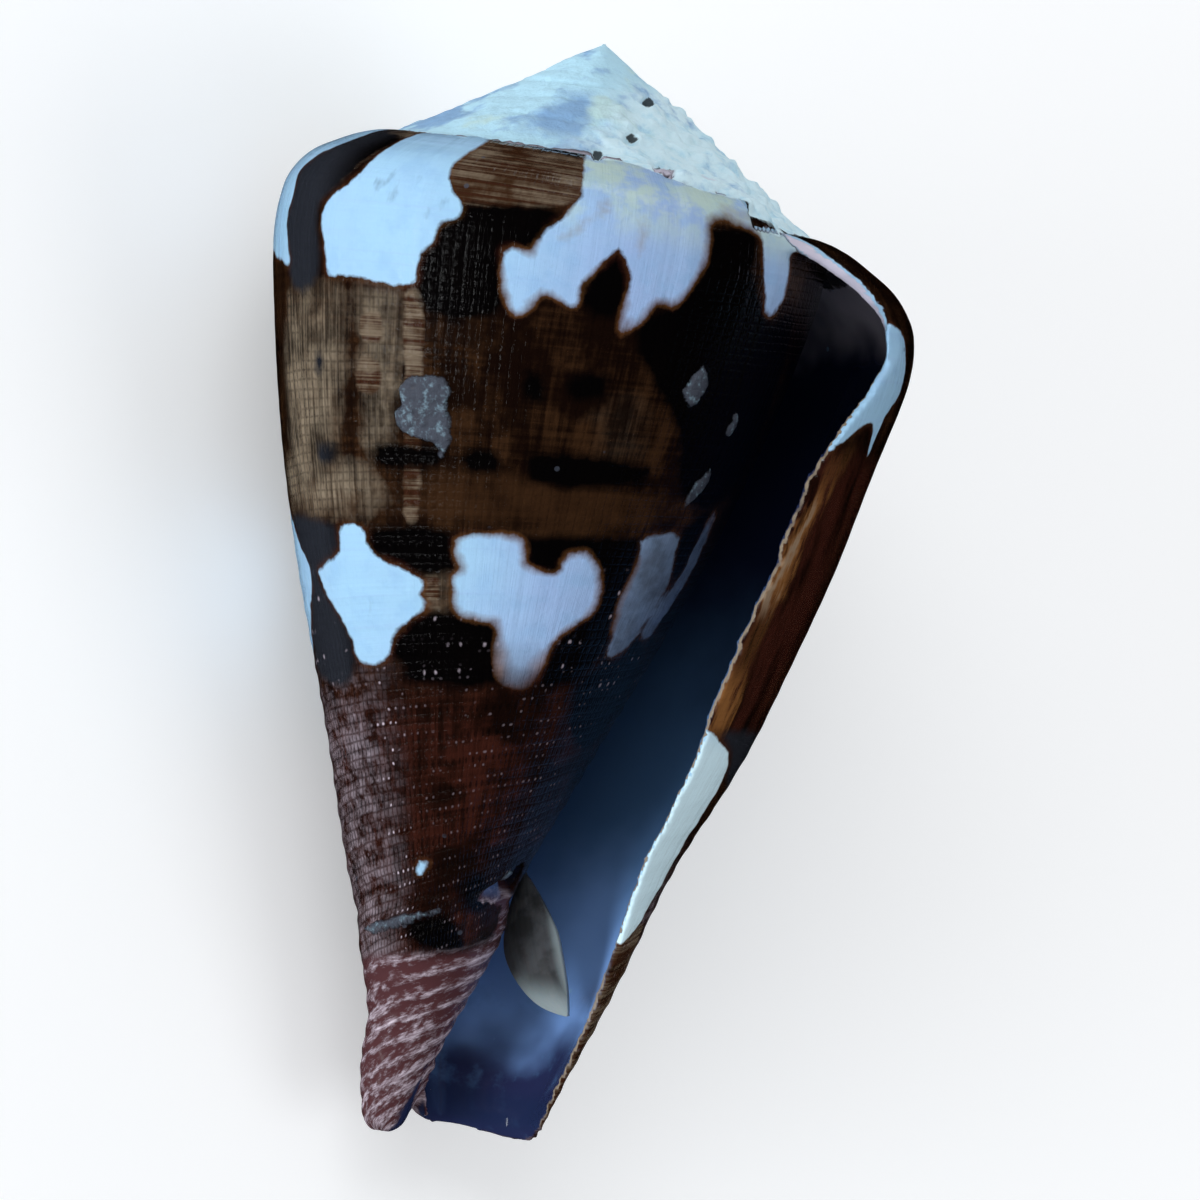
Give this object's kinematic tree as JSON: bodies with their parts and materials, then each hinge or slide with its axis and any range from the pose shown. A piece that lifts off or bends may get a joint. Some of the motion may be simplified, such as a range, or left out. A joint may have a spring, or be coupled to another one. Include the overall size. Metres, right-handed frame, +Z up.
{
  "type": "cone shell",
  "caption": "Glossy cone shell lying on its back, with a low eroded spire, a narrow slanting mouth, a twisted lower end and its small horny operculum.",
  "frame": {"origin": "on the ground, at the centre of the bottom of the part's bounding box", "axes": "+Z up from the ground; +Y from the siphonal end to the apex, along the shell's length as it lies; +X to the side of the outer lip"},
  "size_m": [0.0314, 0.054, 0.029],
  "materials": {
    "shell": "Glossy shell: black-brown and red-brown with cool white blotches, olive-tan bands and rows of pale dots; chalky blue-white worn spire; smooth blue-violet inside the mouth.",
    "operculum": "Thin translucent grey-olive horn with fine growth lines and a paler tip."
  },
  "bodies": {
    "root": {"shell": "shell", "operculum": "operculum"}
  },
  "joints": []
}
